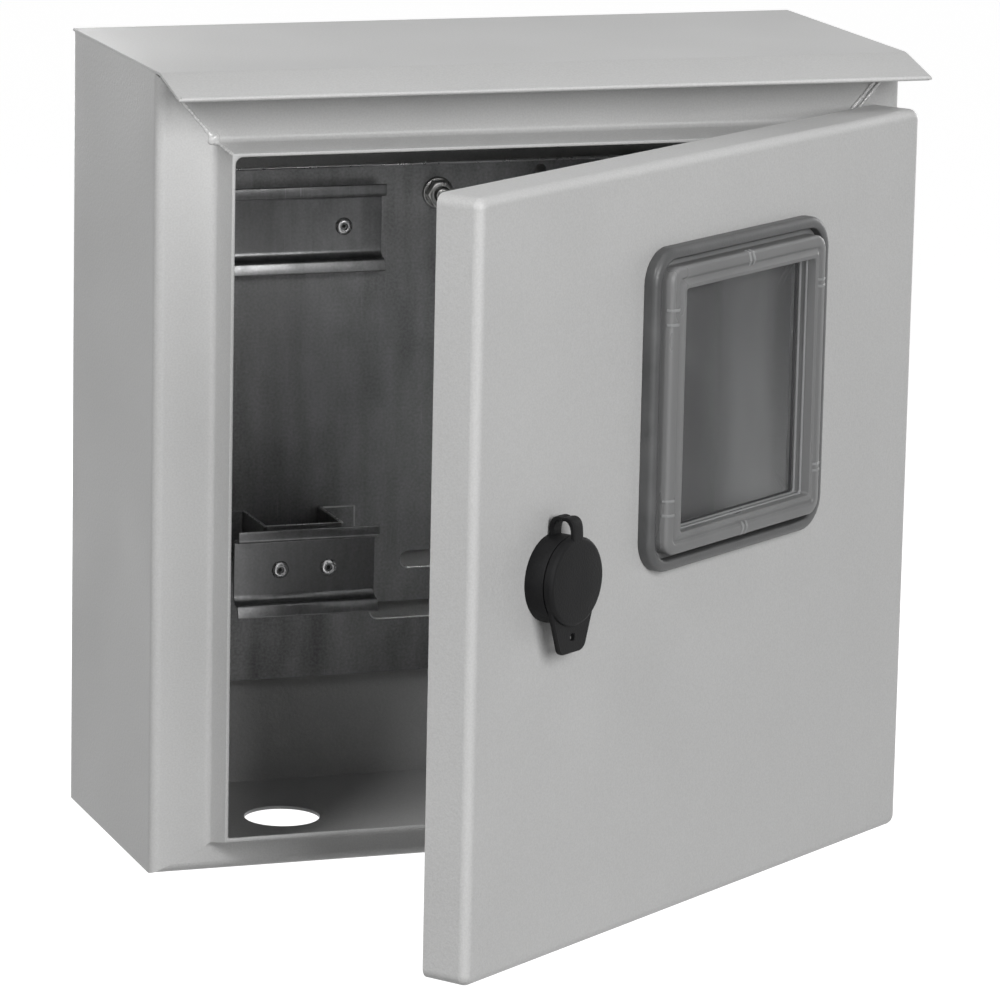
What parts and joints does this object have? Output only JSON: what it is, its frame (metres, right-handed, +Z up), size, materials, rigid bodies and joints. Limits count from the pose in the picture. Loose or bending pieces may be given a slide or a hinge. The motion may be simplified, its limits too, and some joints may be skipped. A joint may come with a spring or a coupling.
{
  "type": "electric meter box",
  "caption": "Wall-mounted sheet-metal meter box with roof visor, glazed hinged door, capped quarter-turn lock, mounting panel and rails for modular devices.",
  "frame": {"origin": "middle of the four wall holes, on the back face", "axes": "+Y out of the back into the wall, -Y to the front, +Z up, +X to the hinge side"},
  "size_m": [0.3006, 0.3021, 0.31],
  "materials": {
    "paint": "fine textured powder coat",
    "zinc": "galvanised, dull",
    "rivet": "bright",
    "rubber": "matt",
    "clear": "clear moulded plastic",
    "black": "satin"
  },
  "bodies": {
    "cabinet": {"body_wrap": "paint", "body_base": "paint", "body_head": "paint", "roof_visor": "paint", "hinge_leaf_body_lower": "paint", "hinge_leaf_body_upper": "paint", "hinge_pin_lower": "zinc", "hinge_pin_upper": "zinc", "mounting_panel": "zinc", "panel_studs": "zinc", "panel_spacers": "zinc", "panel_washers": "zinc", "panel_nuts": "zinc", "upper_rail": "zinc", "upper_rail_rivets": "rivet", "rail_bracket": "zinc", "bracket_rivets": "rivet", "lower_rail": "zinc", "lower_rail_rivets": "rivet"},
    "door": {"door_shell": "paint", "door_gasket": "rubber", "hinge_leaf_door_lower": "paint", "hinge_leaf_door_upper": "paint", "window_seal": "rubber", "window_pane": "clear", "lock_housing": "zinc", "lock_nut": "zinc", "cap_base": "black"},
    "lock": {"lock_barrel": "zinc", "lock_cam": "zinc", "cam_screw": "zinc"},
    "cap_lid": {"cap_lid": "black"}
  },
  "joints": [
    {"name": "door_hinge", "type": "hinge", "parent": "cabinet", "child": "door", "pos_m": [0.1414, -0.131, 0], "axis": [0, 0, 1], "range_deg": [-35.2, 84.8]},
    {"name": "lock_turn", "type": "hinge", "parent": "door", "child": "lock", "pos_m": [-0.04637, -0.27631, -0.0085], "axis": [-0.5764, 0.8171, 0], "range_deg": [0, 90]},
    {"name": "cap_flip", "type": "hinge", "parent": "door", "child": "cap_lid", "pos_m": [-0.04257, -0.2817, 0.0148], "axis": [-0.8171, -0.5764, 0], "range_deg": [0, 120]}
  ]
}
